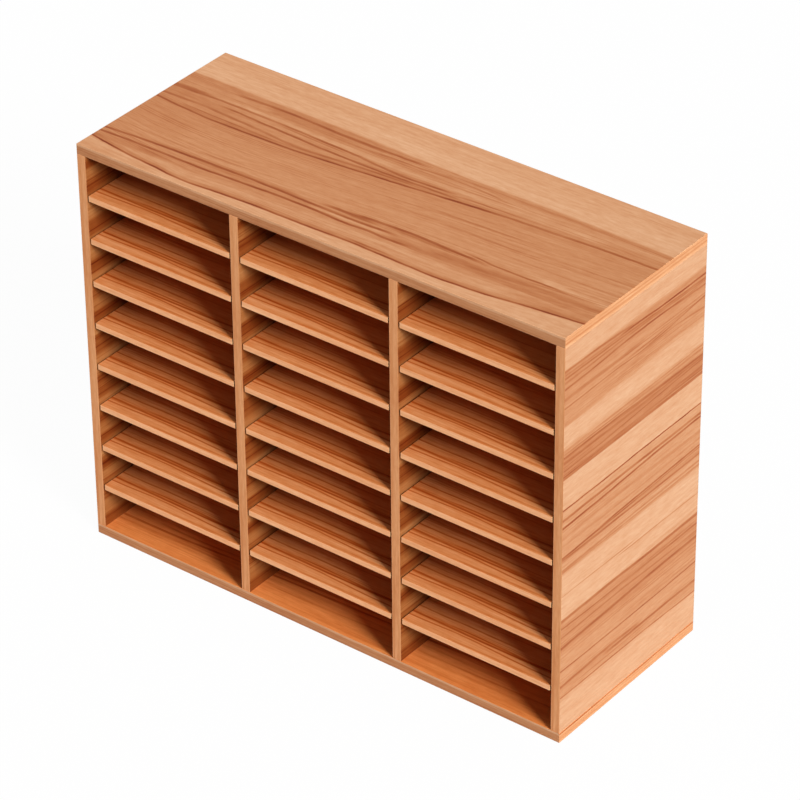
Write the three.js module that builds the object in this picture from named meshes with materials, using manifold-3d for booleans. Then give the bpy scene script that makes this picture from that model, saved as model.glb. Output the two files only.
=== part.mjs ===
// A pigeonhole mail sorter: a flat-pack case of wood-faced boards in three columns, with loose
// shelves that rest on pins and slide out through the front.
// Millimetres, +Z up, the front towards -Y, the origin on the floor under the middle of the case.

import * as THREE from "three";
import { mergeVertices } from "three/addons/utils/BufferGeometryUtils.js";
import Module from "manifold-3d";

const wasm = await Module();
wasm.setup();

// Case
const caseWidth = 770;
const caseDepth = 300;
const caseHeight = 608;
const deckThickness = 15; // the top and bottom boards
const uprightThickness = 14; // the sides and dividers
const arris = 0.5; // the easing along every board edge

// Pigeonholes, counted from the bottom
const columnNames = ["left", "centre", "right"];
const shelvesPerColumn = 8;
const lowestClear = 60.8; // clear height of the lowest pigeonhole
const highestClear = 57.5; // clear height of the top one

// Loose shelves
const shelfThickness = 8.5;
const shelfEndGap = 1.9;
const shelfFrontSetback = 0.2;
const shelfBackGap = 2;

// Shelf pins: straight steel pins, faceted so that the shelf lies on a flat
const pinRadius = 2.5;
const pinReach = 8; // out of the upright's face
const pinFrontInset = 37; // from the front edge of the upright
const pinBackInset = 37; // from the face of the back panel
const pinSides = 8;

// Back panel, held in a groove all round
const backThickness = 3;
const backInset = 8; // from the rear edges to the panel
const grooveDepth = 5;

// Cam locks, which draw the top down on the uprights
const fittingInset = 55; // from the front edge, and from the back panel
const camRadius = 7.5;
const camDrop = 24; // from the upright's upper end to the cam's centre
const camSlotWidth = 1.4;
const camSlotLength = 9;
const camSlotDepth = 1.6;
const boltHeadRadius = 3.2;
const boltHeadHeight = 3;
const boltNeckRadius = 1.8;
const boltShankRadius = 3.5;
const boltThreadRadius = 3;
const boltThreadLength = 10;

// Countersunk screws, up through the bottom board
const screwLength = 50;
const screwHeadRadius = 5;
const screwHeadRim = 1;
const screwHeadRecess = 0.3;
const screwShankRadius = 3.5;
const screwShankPast = 8; // how far the plain shank reaches into the upright
const screwCoreRadius = 2.6;
const screwTipLength = 5;
const socketRadius = 2.3;
const socketDepth = 2.5;

const fitGap = 0.3; // clearance round a fitting, and of the back panel in its groove
const cutPast = 2; // how far a cutter runs past the face it opens
const fittingSides = 12;
const camSides = 20;
const socketSides = 6;
const weldDistance = 1e-4; // vertices nearer than this are one

// Places worked out from the sizes above
const columns = columnNames.length;
const innerHeight = caseHeight - 2 * deckThickness;
const columnPitch = (caseWidth - uprightThickness) / columns;
const columnWidth = columnPitch - uprightThickness;
const frontY = -caseDepth / 2;
const rearY = caseDepth / 2;
const backFaceY = rearY - backInset - backThickness;
const backWidth = caseWidth - 2 * uprightThickness + 2 * grooveDepth;
const backHeight = innerHeight + 2 * grooveDepth;
const jointZ = caseHeight - deckThickness; // where the uprights meet the top
const uprightZ = deckThickness + innerHeight / 2;
const shelfPitch =
  (innerHeight - lowestClear - highestClear - shelfThickness) / (shelvesPerColumn - 1);
const pinRise = pinRadius * Math.cos(Math.PI / pinSides); // from a pin's axis to its upper flat
const fittingRows = { front: frontY + fittingInset, rear: backFaceY - fittingInset };

const uprightX = (index) => -caseWidth / 2 + uprightThickness / 2 + index * columnPitch;
const shelfUnderside = (level) => deckThickness + lowestClear + level * shelfPitch;
const levels = [...Array(shelvesPerColumn).keys()];

const woodFace = new THREE.MeshStandardMaterial({ color: 0xd39a6a, roughness: 0.5 });
const shelfFace = new THREE.MeshStandardMaterial({ color: 0xc98a56, roughness: 0.5 });
const hardboard = new THREE.MeshStandardMaterial({ color: 0xb07a4c, roughness: 0.8 });
const zinc = new THREE.MeshStandardMaterial({ color: 0xb4b6b8, roughness: 0.35, metalness: 1 });

// Solids for cutting and joining

function solidOf(geometry) {
  const bare = geometry.clone();
  bare.deleteAttribute("normal");
  bare.deleteAttribute("uv");
  const merged = mergeVertices(bare, weldDistance);
  const mesh = new wasm.Mesh({
    numProp: 3,
    vertProperties: new Float32Array(merged.attributes.position.array),
    triVerts: new Uint32Array(merged.index.array),
  });
  return new wasm.Manifold(mesh);
}

function geometryOf(solid) {
  const mesh = solid.getMesh();
  const geometry = new THREE.BufferGeometry();
  geometry.setAttribute("position", new THREE.BufferAttribute(mesh.vertProperties, 3));
  geometry.setIndex(new THREE.BufferAttribute(mesh.triVerts, 1));
  geometry.computeVertexNormals();
  return geometry;
}

function shaped(blank, { cuts = [], joins = [] }) {
  let solid = solidOf(blank);
  for (const cut of cuts) solid = solid.subtract(solidOf(cut));
  for (const join of joins) solid = solid.add(solidOf(join));
  return geometryOf(solid);
}

// Forms

// A rectangle about the middle with its four corners eased.
function easedRectangle(width, height) {
  const x = width / 2;
  const y = height / 2;
  return new THREE.Shape([
    new THREE.Vector2(x, arris - y),
    new THREE.Vector2(x, y - arris),
    new THREE.Vector2(x - arris, y),
    new THREE.Vector2(arris - x, y),
    new THREE.Vector2(-x, y - arris),
    new THREE.Vector2(-x, arris - y),
    new THREE.Vector2(arris - x, -y),
    new THREE.Vector2(x - arris, -y),
  ]);
}

// A board about its middle, run out along +Z, with every edge eased.
function easedBoard(width, height, length) {
  const board = new THREE.ExtrudeGeometry(easedRectangle(width, height), {
    depth: length - 2 * arris,
    bevelThickness: arris,
    bevelSize: arris,
    bevelOffset: -arris,
    bevelSegments: 1,
  });
  return board.translate(0, 0, arris - length / 2);
}

const boardAlongX = (length, depth, thickness) =>
  easedBoard(thickness, depth, length).rotateY(Math.PI / 2);

// A turned piece on the Z axis, from pairs of radius and height.
function turned(profile, sides) {
  const points = profile.map(([radius, height]) => new THREE.Vector2(radius, height));
  return new THREE.LatheGeometry(points, sides).rotateX(Math.PI / 2);
}

// A round cutter on the Z axis between two heights.
function drill(radius, low, high) {
  const length = high - low;
  const bit = new THREE.CylinderGeometry(radius, radius, length, fittingSides);
  return bit.rotateX(Math.PI / 2).translate(0, 0, low + length / 2);
}

// The groove for the back panel, cut along X and downwards into an upward face at height zero.
function grooveCutter(length) {
  const depth = grooveDepth + fitGap;
  const cutter = new THREE.BoxGeometry(length, backThickness + 2 * fitGap, depth + cutPast);
  return cutter.translate(0, backFaceY + backThickness / 2, (cutPast - depth) / 2);
}

// Fittings

// The screw's outline, let out by a clearance when it shapes its own hole.
function screwProfile(gap) {
  const coneTop = screwHeadRecess + screwHeadRim + screwHeadRadius - screwShankRadius;
  const shankTop = deckThickness + screwShankPast;
  const headFace = gap ? -cutPast : screwHeadRecess;
  return [
    [0, headFace],
    [screwHeadRadius + gap, headFace],
    [screwHeadRadius + gap, screwHeadRecess + screwHeadRim],
    [screwShankRadius + gap, coneTop],
    [screwShankRadius + gap, shankTop + gap],
    [screwCoreRadius + gap, shankTop + gap],
    [screwCoreRadius + gap, screwLength - screwTipLength],
    [0, screwLength + gap],
  ];
}

function screwGeometry() {
  const length = socketDepth + cutPast;
  const socket = new THREE.CylinderGeometry(socketRadius, socketRadius, length, socketSides);
  socket.rotateX(Math.PI / 2).translate(0, 0, screwHeadRecess + (socketDepth - cutPast) / 2);
  return shaped(turned(screwProfile(0), fittingSides), { cuts: [socket] });
}

// The bolt hangs from the top board, its shoulder against the joint at height zero.
function boltGeometry() {
  const headFoot = -camDrop - boltHeadHeight / 2;
  const neckTop = camRadius + fitGap - camDrop;
  const profile = [
    [0, headFoot],
    [boltHeadRadius, headFoot],
    [boltHeadRadius, headFoot + boltHeadHeight],
    [boltNeckRadius, headFoot + boltHeadHeight],
    [boltNeckRadius, neckTop],
    [boltShankRadius, neckTop],
    [boltShankRadius, 0],
    [boltThreadRadius, 0],
    [boltThreadRadius, boltThreadLength],
    [0, boltThreadLength],
  ];
  return turned(profile, fittingSides);
}

// The cam's cavity, a keyhole that opens upwards for the neck and holds the head.
function keyholeShape() {
  const hole = boltHeadRadius + 2 * fitGap;
  const slit = boltNeckRadius + fitGap;
  const reach = camRadius + cutPast;
  const turn = Math.asin(slit / hole);
  const shape = new THREE.Shape();
  shape.moveTo(-reach, slit);
  shape.lineTo(-reach, -slit);
  shape.absarc(0, 0, hole, turn - Math.PI, Math.PI - turn, false);
  return shape;
}

// The cam lies on the X axis with its slotted face at zero and its body behind it.
const camFaceDepth = uprightThickness / 2 - boltHeadRadius - fitGap;
const camLength = uprightThickness / 2 + boltHeadRadius + fitGap;

function camGeometry() {
  const body = new THREE.CylinderGeometry(camRadius, camRadius, camLength, camSides);
  body.rotateZ(-Math.PI / 2).translate(-camLength / 2, 0, 0);
  const keyhole = new THREE.ExtrudeGeometry(keyholeShape(), {
    depth: camLength - camFaceDepth + cutPast,
    bevelEnabled: false,
    curveSegments: fittingSides,
  });
  keyhole.rotateY(Math.PI / 2).translate(-camLength - cutPast, 0, 0);
  const slot = new THREE.BoxGeometry(camSlotDepth + cutPast, camSlotLength, camSlotWidth);
  slot.translate((cutPast - camSlotDepth) / 2, 0, 0);
  return shaped(body, { cuts: [keyhole, slot] });
}

// Boards

function deckGeometry(inward, extraCuts) {
  const board = boardAlongX(caseWidth, caseDepth, deckThickness);
  const groove = grooveCutter(backWidth + 2 * fitGap);
  if (inward < 0) groove.rotateY(Math.PI);
  groove.translate(0, 0, (inward * deckThickness) / 2);
  return shaped(board, { cuts: [groove, ...extraCuts] });
}

// Cutters are placed at every upright and at both rows of fittings.
function atFittings(makeCutter) {
  const places = [...Array(columns + 1).keys()].map(uprightX);
  return places.flatMap((x) =>
    Object.values(fittingRows).map((y) => makeCutter().translate(x, y, 0)),
  );
}

const topGeometry = () =>
  deckGeometry(
    -1,
    atFittings(() => {
      const foot = -deckThickness / 2;
      const depth = boltThreadLength + fitGap;
      return drill(boltThreadRadius + fitGap, foot - cutPast, foot + depth);
    }),
  );

const bottomGeometry = () =>
  deckGeometry(
    1,
    atFittings(() =>
      turned(screwProfile(fitGap), fittingSides).translate(0, 0, -deckThickness / 2),
    ),
  );

// One upright about its middle. Its open faces carry pins, -1 on the left and 1 on the right,
// and the cams sit in the face that camFacing gives.
function uprightGeometry(openFaces, camFacing) {
  const outer = openFaces.length === 1;
  const depth = (outer ? rearY : backFaceY) - frontY;
  const board = easedBoard(uprightThickness, depth, innerHeight);
  board.translate(0, frontY + depth / 2, 0);

  const cuts = [];
  for (const y of Object.values(fittingRows)) {
    const pocket = new THREE.CylinderGeometry(
      camRadius + fitGap,
      camRadius + fitGap,
      camLength + cutPast,
      camSides,
    );
    const top = innerHeight / 2;
    pocket.rotateZ(Math.PI / 2);
    pocket.translate(camFacing * (uprightThickness / 2 + (cutPast - camLength) / 2), y, top - camDrop);
    const bore = drill(boltShankRadius + fitGap, top - camDrop, top + cutPast);
    const screwHole = turned(screwProfile(fitGap), fittingSides);
    cuts.push(pocket, bore.translate(0, y, 0), screwHole.translate(0, y, -uprightZ));
  }
  if (outer) {
    const groove = grooveCutter(innerHeight + cutPast).rotateY((openFaces[0] * Math.PI) / 2);
    cuts.push(groove.translate((openFaces[0] * uprightThickness) / 2, 0, 0));
  }

  const joins = levels.flatMap((level) => pinPair(shelfUnderside(level) - uprightZ, openFaces));
  return shaped(board, { cuts, joins });
}

// The front and rear pins at one height, each standing out of the open faces only.
function pinPair(shelfFoot, openFaces) {
  const left = openFaces.includes(-1) ? -uprightThickness / 2 - pinReach : 0;
  const right = openFaces.includes(1) ? uprightThickness / 2 + pinReach : 0;
  return [frontY + pinFrontInset, backFaceY - pinBackInset].map((y) => {
    const pin = new THREE.CylinderGeometry(pinRadius, pinRadius, right - left, pinSides);
    pin.rotateY(Math.PI / pinSides).rotateZ(Math.PI / 2);
    return pin.translate((left + right) / 2, y, shelfFoot - pinRise);
  });
}

const backGeometry = () => new THREE.BoxGeometry(backWidth, backThickness, backHeight);

function shelfGeometry() {
  const width = columnWidth - 2 * shelfEndGap;
  const depth = backFaceY - shelfBackGap - frontY - shelfFrontSetback;
  return boardAlongX(width, depth, shelfThickness);
}

// Assembly

function place(group, name, geometry, material, x, y, z) {
  const mesh = new THREE.Mesh(geometry, material);
  mesh.name = name;
  mesh.position.set(x, y, z);
  group.add(mesh);
  return mesh;
}

const uprights = [
  { name: "left_side", openFaces: [1], camFacing: 1 },
  { name: "left_divider", openFaces: [-1, 1], camFacing: -1 },
  { name: "right_divider", openFaces: [-1, 1], camFacing: 1 },
  { name: "right_side", openFaces: [-1], camFacing: -1 },
];

function buildCase() {
  const group = new THREE.Group();
  place(group, "top_panel", topGeometry(), woodFace, 0, 0, caseHeight - deckThickness / 2);
  place(group, "bottom_panel", bottomGeometry(), woodFace, 0, 0, deckThickness / 2);
  place(group, "back_panel", backGeometry(), hardboard, 0, backFaceY + backThickness / 2, uprightZ);
  uprights.forEach(({ name, openFaces, camFacing }, index) => {
    const geometry = uprightGeometry(openFaces, camFacing);
    place(group, name, geometry, woodFace, uprightX(index), 0, uprightZ);
  });
  return group;
}

function buildShelves() {
  const group = new THREE.Group();
  const geometry = shelfGeometry();
  const y = (frontY + shelfFrontSetback + backFaceY - shelfBackGap) / 2;
  columnNames.forEach((column, index) => {
    const x = uprightX(index) + columnPitch / 2;
    for (const level of levels) {
      const z = shelfUnderside(level) + shelfThickness / 2;
      place(group, `shelf_${column}_${level + 1}`, geometry, shelfFace, x, y, z);
    }
  });
  return group;
}

function buildFittings() {
  const group = new THREE.Group();
  const [cam, bolt, screw] = [camGeometry(), boltGeometry(), screwGeometry()];
  uprights.forEach(({ name, camFacing }, index) => {
    const x = uprightX(index);
    for (const [row, y] of Object.entries(fittingRows)) {
      const camX = x + (camFacing * uprightThickness) / 2;
      const lock = place(group, `cam_${name}_${row}`, cam, zinc, camX, y, jointZ - camDrop);
      lock.rotation.z = camFacing < 0 ? Math.PI : 0;
      place(group, `bolt_${name}_${row}`, bolt, zinc, x, y, jointZ);
      place(group, `screw_${name}_${row}`, screw, zinc, x, y, 0);
    }
  });
  return group;
}

const sorter = new THREE.Group();
sorter.add(buildCase(), buildShelves(), buildFittings());

export default sorter;
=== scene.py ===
# %% [markdown]
# # Pigeonhole mail sorter
# This lesson dresses a desktop mail sorter: a wooden case with three columns of nine
# pigeonholes, divided by 24 loose shelves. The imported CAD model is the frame. It already has
# every board at its true size and place, so each new piece takes its corners from the frame
# and nothing is fitted by eye. What the frame lacks is what a joiner and a finisher add:
# eased edges, edge bands, veneer with its figure, steel pins and a satin coat.

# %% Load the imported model
import math
from functools import partial

import bmesh
import bpy
from mathutils import Matrix, Vector


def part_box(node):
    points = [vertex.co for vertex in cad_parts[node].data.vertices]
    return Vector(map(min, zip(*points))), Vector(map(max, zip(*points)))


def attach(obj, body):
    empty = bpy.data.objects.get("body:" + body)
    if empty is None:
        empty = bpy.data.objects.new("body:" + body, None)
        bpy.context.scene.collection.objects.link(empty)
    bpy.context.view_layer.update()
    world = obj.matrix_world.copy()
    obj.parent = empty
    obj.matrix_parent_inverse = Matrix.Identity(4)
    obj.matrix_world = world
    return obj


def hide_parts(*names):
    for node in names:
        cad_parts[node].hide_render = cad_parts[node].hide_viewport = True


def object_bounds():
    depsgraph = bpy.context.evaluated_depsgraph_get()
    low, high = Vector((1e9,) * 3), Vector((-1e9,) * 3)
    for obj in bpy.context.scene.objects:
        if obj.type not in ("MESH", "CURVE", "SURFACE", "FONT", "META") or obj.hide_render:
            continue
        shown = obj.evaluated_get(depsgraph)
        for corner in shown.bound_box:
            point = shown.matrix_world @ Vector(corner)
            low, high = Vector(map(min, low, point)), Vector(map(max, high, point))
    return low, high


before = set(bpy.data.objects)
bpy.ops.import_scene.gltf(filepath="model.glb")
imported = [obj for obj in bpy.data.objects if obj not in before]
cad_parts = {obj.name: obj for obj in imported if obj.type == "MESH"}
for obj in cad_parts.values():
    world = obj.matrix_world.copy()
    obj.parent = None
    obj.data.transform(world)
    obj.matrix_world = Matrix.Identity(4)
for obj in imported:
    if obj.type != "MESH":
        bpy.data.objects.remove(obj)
cad_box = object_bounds()
scene = bpy.context.scene
mm = 1000.0  # millimetres in a metre

# %% [markdown]
# ## Camera
# The picture was taken from high on the right with a long lens, so the boards hardly narrow
# towards the back. A camera can be placed by hand and nudged, but three angles, a distance and
# a point to look at are easier to read and to change: the camera goes out from that point along
# a direction, turns back to it, and then rolls by half a degree.

# %% Camera
look_at = Vector((0.0265, -0.0100, 0.304))
camera_distance = 5.487
camera_azimuth = math.radians(37.85)
camera_elevation = math.radians(33.51)
camera_roll = math.radians(-0.546)
lens_length = 191.45
film_width = 36.0


def direction_of(azimuth, elevation):
    """A unit vector, with the azimuth counted from the front towards the right."""
    level = math.cos(elevation)
    return Vector((math.sin(azimuth) * level, -math.cos(azimuth) * level, math.sin(elevation)))


def aim(thing, target, direction, distance, roll=0.0):
    """Puts a camera or a lamp at a distance from its target and turns it to look there."""
    thing.location = target + distance * direction
    turned = direction.to_track_quat("Z", "Y").to_matrix() @ Matrix.Rotation(roll, 3, "Z")
    thing.rotation_euler = turned.to_euler()


camera_lens = bpy.data.cameras.new("camera")
camera_lens.lens = lens_length
camera_lens.sensor_width = film_width
camera = bpy.data.objects.new("camera", camera_lens)
scene.collection.objects.link(camera)
aim(camera, look_at, direction_of(camera_azimuth, camera_elevation), camera_distance, camera_roll)
scene.camera = camera
scene.view_settings.view_transform = "Standard"
print("Camera at", [round(value, 3) for value in camera.location])

# %% [markdown]
# ## Node helpers
# Every finish below is a small network of shader nodes. Writing each node in three lines would
# bury the idea, so one helper adds a node, sets its options and fills its inputs: a value is
# typed in, and a socket of another node is linked. Others do so for sums, ranges and noise, and
# they can be bound to one network, so that it needn't be named each time. The last ones close a
# network and set its nodes out in columns, to be read in the editor.

# %% Node helpers
column_width = 240
row_height = 280


def fill(tree, filled, inputs):
    """Fills a node's inputs, by name or by number. A socket is linked and a value is typed in."""
    for name, value in inputs.items():
        if isinstance(value, bpy.types.NodeSocket):
            tree.links.new(value, filled.inputs[name])
        else:
            filled.inputs[name].default_value = value


def node(tree, kind, inputs=None, **options):
    """Adds a shader node with its options and inputs."""
    added = tree.nodes.new("ShaderNode" + kind)
    for option, value in options.items():
        setattr(added, option, value)
    fill(tree, added, inputs or {})
    return added


def maths(tree, operation, *values, clamp=False):
    """The result of one sum."""
    return node(tree, "Math", dict(enumerate(values)), operation=operation, use_clamp=clamp).outputs[0]


def ranged(tree, value, low, high, to_low, to_high, smooth=False):
    """A value carried from one range to another and held inside it."""
    inputs = {"Value": value, "From Min": low, "From Max": high, "To Min": to_low, "To Max": to_high}
    easing = "SMOOTHSTEP" if smooth else "LINEAR"
    return node(tree, "MapRange", inputs, interpolation_type=easing).outputs["Result"]


def stretched_noise(tree, vector, stretch, detail, roughness=0.5):
    """Noise from 0 to 1, drawn out along the grain by a stretch, the cycles per unit of each axis."""
    scaled = node(tree, "VectorMath", {0: vector, 1: stretch}, operation="MULTIPLY").outputs[0]
    inputs = {"Vector": scaled, "Scale": 1.0, "Detail": detail, "Roughness": roughness}
    return node(tree, "TexNoise", inputs).outputs[0]


def bound_to(tree):
    """The helpers for sums, ranges and noise, bound to one network."""
    return partial(maths, tree), partial(ranged, tree), partial(stretched_noise, tree)


def stepped_ramp(tree, value, stops):
    """A colour ramp from a list of positions and colours."""
    ramp = node(tree, "ValToRGB", {"Fac": value})
    elements = ramp.color_ramp.elements
    while len(elements) < len(stops):
        elements.new(0.5)
    for element, (position, colour) in zip(elements, stops):
        element.position = position
        element.color = (*colour, 1.0)
    return ramp.outputs["Color"]


def set_out(tree):
    """Sets the nodes out in columns, each to the left of what it feeds."""
    columns = {}
    pending = [(last, 0) for last in tree.nodes if not any(out.is_linked for out in last.outputs)]
    while pending:
        placed, column = pending.pop()
        if columns.get(placed, -1) >= column:
            continue
        columns[placed] = column
        pending += [(link.from_node, column + 1) for socket in placed.inputs for link in socket.links]
    rows = {}
    for placed, column in columns.items():
        rows[column] = rows.get(column, 0) + 1
        placed.location = (-column_width * column, -row_height * rows[column])


def close(tree, ending, results):
    """Wires the results into the last node of a network and sets all its nodes out."""
    fill(tree, ending, results)
    set_out(tree)


def new_group(name, inputs, outputs):
    """An empty node group: the group, the sockets that lead into it and its last node."""
    group = bpy.data.node_groups.new(name, "ShaderNodeTree")
    for label, value in inputs.items():
        kind = "NodeSocketFloat" if isinstance(value, float) else "NodeSocketVector"
        group.interface.new_socket(label, in_out="INPUT", socket_type=kind).default_value = value
    for label in outputs:
        group.interface.new_socket(label, in_out="OUTPUT", socket_type="NodeSocketFloat")
    print("Group:", name)
    return group, group.nodes.new("NodeGroupInput").outputs, group.nodes.new("NodeGroupOutput")


def new_material(name):
    """An empty material with its Principled shader already wired to the output."""
    material = bpy.data.materials.new(name)
    material.use_nodes = True
    print("Finish:", name)
    return material, material.node_tree, material.node_tree.nodes["Principled BSDF"]


print("Node helpers ready")

# %% [markdown]
# ## Floor, room and lamp
# The sorter stands in a white studio. One round soft box, well to the right and not very high,
# throws the slanting shadows in the pigeonholes. It was worked out from the picture: the slant of
# the shadows gives its azimuth, how deep the light reaches under a shelf its height, and how soft
# the shadows are its width. Both ends of the sorter are lit alike, so the box must be far away, and
# a sun lamp with a wide spread does that. A weak second box hangs overhead. It evens out the top
# and never reaches into the pigeonholes. The white room adds a little from all round.
#
# The floor is pale paint. To the camera it also shines, which makes it white and hides its edge,
# but a small part stays plain paint, so the sorter keeps a faint shadow. From below the floor is
# clear, so that the underside can be seen.

# %% Floor, room and lamp
room_light = 0.14
lamp_distance = 6.0
floor_width = 24.0
floor_pale = 0.80
floor_glow = 0.97
white = (1.0, 1.0, 1.0, 1.0)


def object_from(name, shape, finishes):
    """Makes an object of a finished shape and gives it its finishes."""
    mesh = bpy.data.meshes.new(name)
    shape.to_mesh(mesh)
    shape.free()
    for finish in finishes:
        mesh.materials.append(finish)
    made = bpy.data.objects.new(name, mesh)
    scene.collection.objects.link(made)
    return made


def seen_directly(tree):
    """1 for a ray from the camera, or one that a shiny or clear surface sends on."""
    path = node(tree, "LightPath").outputs
    mirrored = maths(tree, "MAXIMUM", path["Is Glossy Ray"], path["Is Transmission Ray"])
    return maths(tree, "MAXIMUM", path["Is Camera Ray"], mirrored)


room = bpy.data.worlds.new("white room")
room.use_nodes = True
scene.world = room
room_tree = room.node_tree
room_strength = ranged(room_tree, seen_directly(room_tree), 0.0, 1.0, room_light, 1.0)
close(room_tree, room_tree.nodes["Background"], {"Color": white, "Strength": room_strength})

floor_paint, floor_tree, floor_shader = new_material("floor paint")
pale = (floor_pale, floor_pale, floor_pale, 1.0)
fill(floor_tree, floor_shader, {"Base Color": pale, "Roughness": 1.0, "Specular IOR Level": 0.0})
glow = node(floor_tree, "Emission", {"Color": white, "Strength": 1.0})
glow_share = maths(floor_tree, "MULTIPLY", seen_directly(floor_tree), floor_glow)
painted = node(floor_tree, "MixShader", {0: glow_share, 1: floor_shader.outputs[0], 2: glow.outputs[0]})
clear = node(floor_tree, "BsdfTransparent")
below = node(floor_tree, "NewGeometry").outputs["Backfacing"]
one_sided = node(floor_tree, "MixShader", {0: below, 1: painted.outputs[0], 2: clear.outputs[0]})
close(floor_tree, floor_tree.nodes["Material Output"], {"Surface": one_sided.outputs[0]})
floor_shape = bmesh.new()
bmesh.ops.create_grid(floor_shape, x_segments=1, y_segments=1, size=floor_width / 2)
floor = object_from("floor", floor_shape, (floor_paint,))


def hang_lamp(name, azimuth, elevation, spread, strength):
    """A round soft box, so far away that it lights both ends of the sorter alike."""
    box = bpy.data.lights.new(name, "SUN")
    box.angle = math.radians(spread)
    box.energy = strength
    lamp = bpy.data.objects.new(name, box)
    scene.collection.objects.link(lamp)
    aim(lamp, look_at, direction_of(math.radians(azimuth), math.radians(elevation)), lamp_distance)
    print(name, "at", [round(value, 2) for value in lamp.location])


hang_lamp("side lamp", azimuth=72.0, elevation=26.5, spread=17.8, strength=4.46)
hang_lamp("top lamp", azimuth=0.0, elevation=90.0, spread=28.0, strength=0.75)

# %% [markdown]
# ## Veneer fibre
# A veneer leaf looks alive because of what happens between its bold lines: pale and dark
# streaks a few millimetres wide, clumps of hairlines, fibres finer than a hair, and pores, the
# short open ends of vessels. All of them are long along the grain and narrow across it. A
# picture of wood could give them, but noise that is stretched along the grain never repeats
# and has no edges. The group reads a place in the leaf in millimetres: along, across and
# through it.

# %% Veneer fibre
fibre_group, leaf_in, fibre_end = new_group(
    "Veneer Fibre", {"Leaf": (0.0, 0.0, 0.0)}, ("Streaks", "Hairlines", "Fibre", "Pores")
)
calc, carry, noise = bound_to(fibre_group)
place = leaf_in["Leaf"]
broad_streaks = noise(place, (0.004, 0.07, 0.02), 2.0)
narrow_streaks = noise(place, (0.006, 0.25, 0.02), 3.0, 0.6)
both_streaks = calc("MULTIPLY_ADD", broad_streaks, 0.7, narrow_streaks)
single_hairs = carry(noise(place, (0.003, 0.42, 0.02), 2.0), 0.52, 0.61, 0.0, 1.0, True)
hair_clumps = carry(noise(place, (0.004, 0.04, 0.02), 1.0), 0.40, 0.60, 0.2, 1.0)
fine_fibre = noise(place, (0.05, 0.28, 0.1), 4.0, 0.65)
open_pores = carry(noise(place, (0.09, 1.5, 0.3), 1.0), 0.64, 0.74, 0.0, 1.0, True)
close(fibre_group, fibre_end, {
    "Streaks": calc("SUBTRACT", both_streaks, 0.85),
    "Hairlines": calc("MULTIPLY", single_hairs, hair_clumps),
    "Fibre": calc("SUBTRACT", fine_fibre, 0.5),
    "Pores": open_pores,
})

# %% [markdown]
# ## Figure line
# The bold lines of this wood are growth rings cut at a slant. Each has one hard edge, where a
# winter stopped the growth, and one side that fades away. The group draws one such line: it
# takes the tone so far and darkens it beside the line's course, by a width before it and a
# width after it. A negative strength makes the wood paler instead. Lines are chained, the tone out
# of one goes into the next. One shader has little memory, so what all lines share is worked out
# once outside: the noise that keeps a course from looking ruled, and the ink, which makes a line
# strong in one place and faint in another.

# %% Figure line
line_fade = 30.0
full_ink = 0.7
line_inputs = {
    "Tone": 0.5, "Ink": 1.0, "Along": 0.0, "Across": 0.0, "Course": 0.0, "Middle": 0.0,
    "Reach": 100.0, "Before": 5.0, "After": 1.5, "Strength": 0.5,
}
line_group, line_in, line_end = new_group("Figure Line", line_inputs, ("Tone",))
calc, carry = bound_to(line_group)[:2]
offset = calc("SUBTRACT", line_in["Across"], line_in["Course"])
gap_after = calc("DIVIDE", offset, line_in["After"])
gap_before = calc("DIVIDE", calc("MULTIPLY", offset, -1.0), line_in["Before"])
nearness = calc("SUBTRACT", 1.0, calc("MAXIMUM", gap_before, gap_after), clamp=True)
falloff = carry(nearness, 0.0, full_ink, 0.0, 1.0, True)
inked = calc("MULTIPLY", calc("MULTIPLY", falloff, line_in["Ink"]), line_in["Strength"])
from_middle = calc("ABSOLUTE", calc("SUBTRACT", line_in["Along"], line_in["Middle"]))
to_end = calc("SUBTRACT", line_in["Reach"], from_middle)
drawn = calc("MULTIPLY", inked, carry(to_end, 0.0, line_fade, 0.0, 1.0))
kept_tone = calc("MULTIPLY", line_in["Tone"], calc("SUBTRACT", 1.0, drawn))
close(line_group, line_end, {"Tone": kept_tone})

# %% [markdown]
# ## Worn arris with a painted highlight, and satin coat
# Hands and parcels rub a board where it is sharpest. The arris, the eased corner between two
# faces, loses its colour there first, and not evenly. The pale colour given to it is partly this
# wear and partly a painted highlight, the light that an eased corner catches. Each board below
# carries a value named arris on its mesh, 1 on the corner and 0 on the flats, and this group
# breaks it up with noise. A second group works out how the coat of lacquer takes the light:
# rougher in open fibre, in pores and where it is worn.

# %% Worn arris with a painted highlight, and satin coat
most_wear_and_highlight = 0.35
satin = 0.46

wear_highlight_group, wear_highlight_in, wear_highlight_end = new_group("Worn Arris Highlight", {"Leaf": (0.0, 0.0, 0.0)}, ("Wear And Highlight",))
calc, carry, noise = bound_to(wear_highlight_group)
arris_value = node(wear_highlight_group, "Attribute", attribute_name="arris").outputs["Fac"]
# Painted highlight and wear: where the arris value is high, the colour turns paler
rubbed_and_lit = carry(noise(wear_highlight_in["Leaf"], (0.05, 0.05, 0.05), 3.0), 0.35, 0.70, 0.0, most_wear_and_highlight)
close(wear_highlight_group, wear_highlight_end, {"Wear And Highlight": calc("MULTIPLY", arris_value, rubbed_and_lit)})

coat_group, coat_in, coat_end = new_group(
    "Satin Coat", {"Fibre": 0.0, "Pores": 0.0, "Wear And Highlight": 0.0}, ("Roughness", "Height")
)
calc = partial(maths, coat_group)
coat_rough = satin
for cause, share in (("Fibre", 0.15), ("Pores", 0.15), ("Wear And Highlight", 0.12)):
    coat_rough = calc("MULTIPLY_ADD", coat_in[cause], share, coat_rough)
coat_height = calc("MULTIPLY_ADD", coat_in["Pores"], -0.8, coat_in["Fibre"])
close(coat_group, coat_end, {"Roughness": coat_rough, "Height": coat_height})

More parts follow.
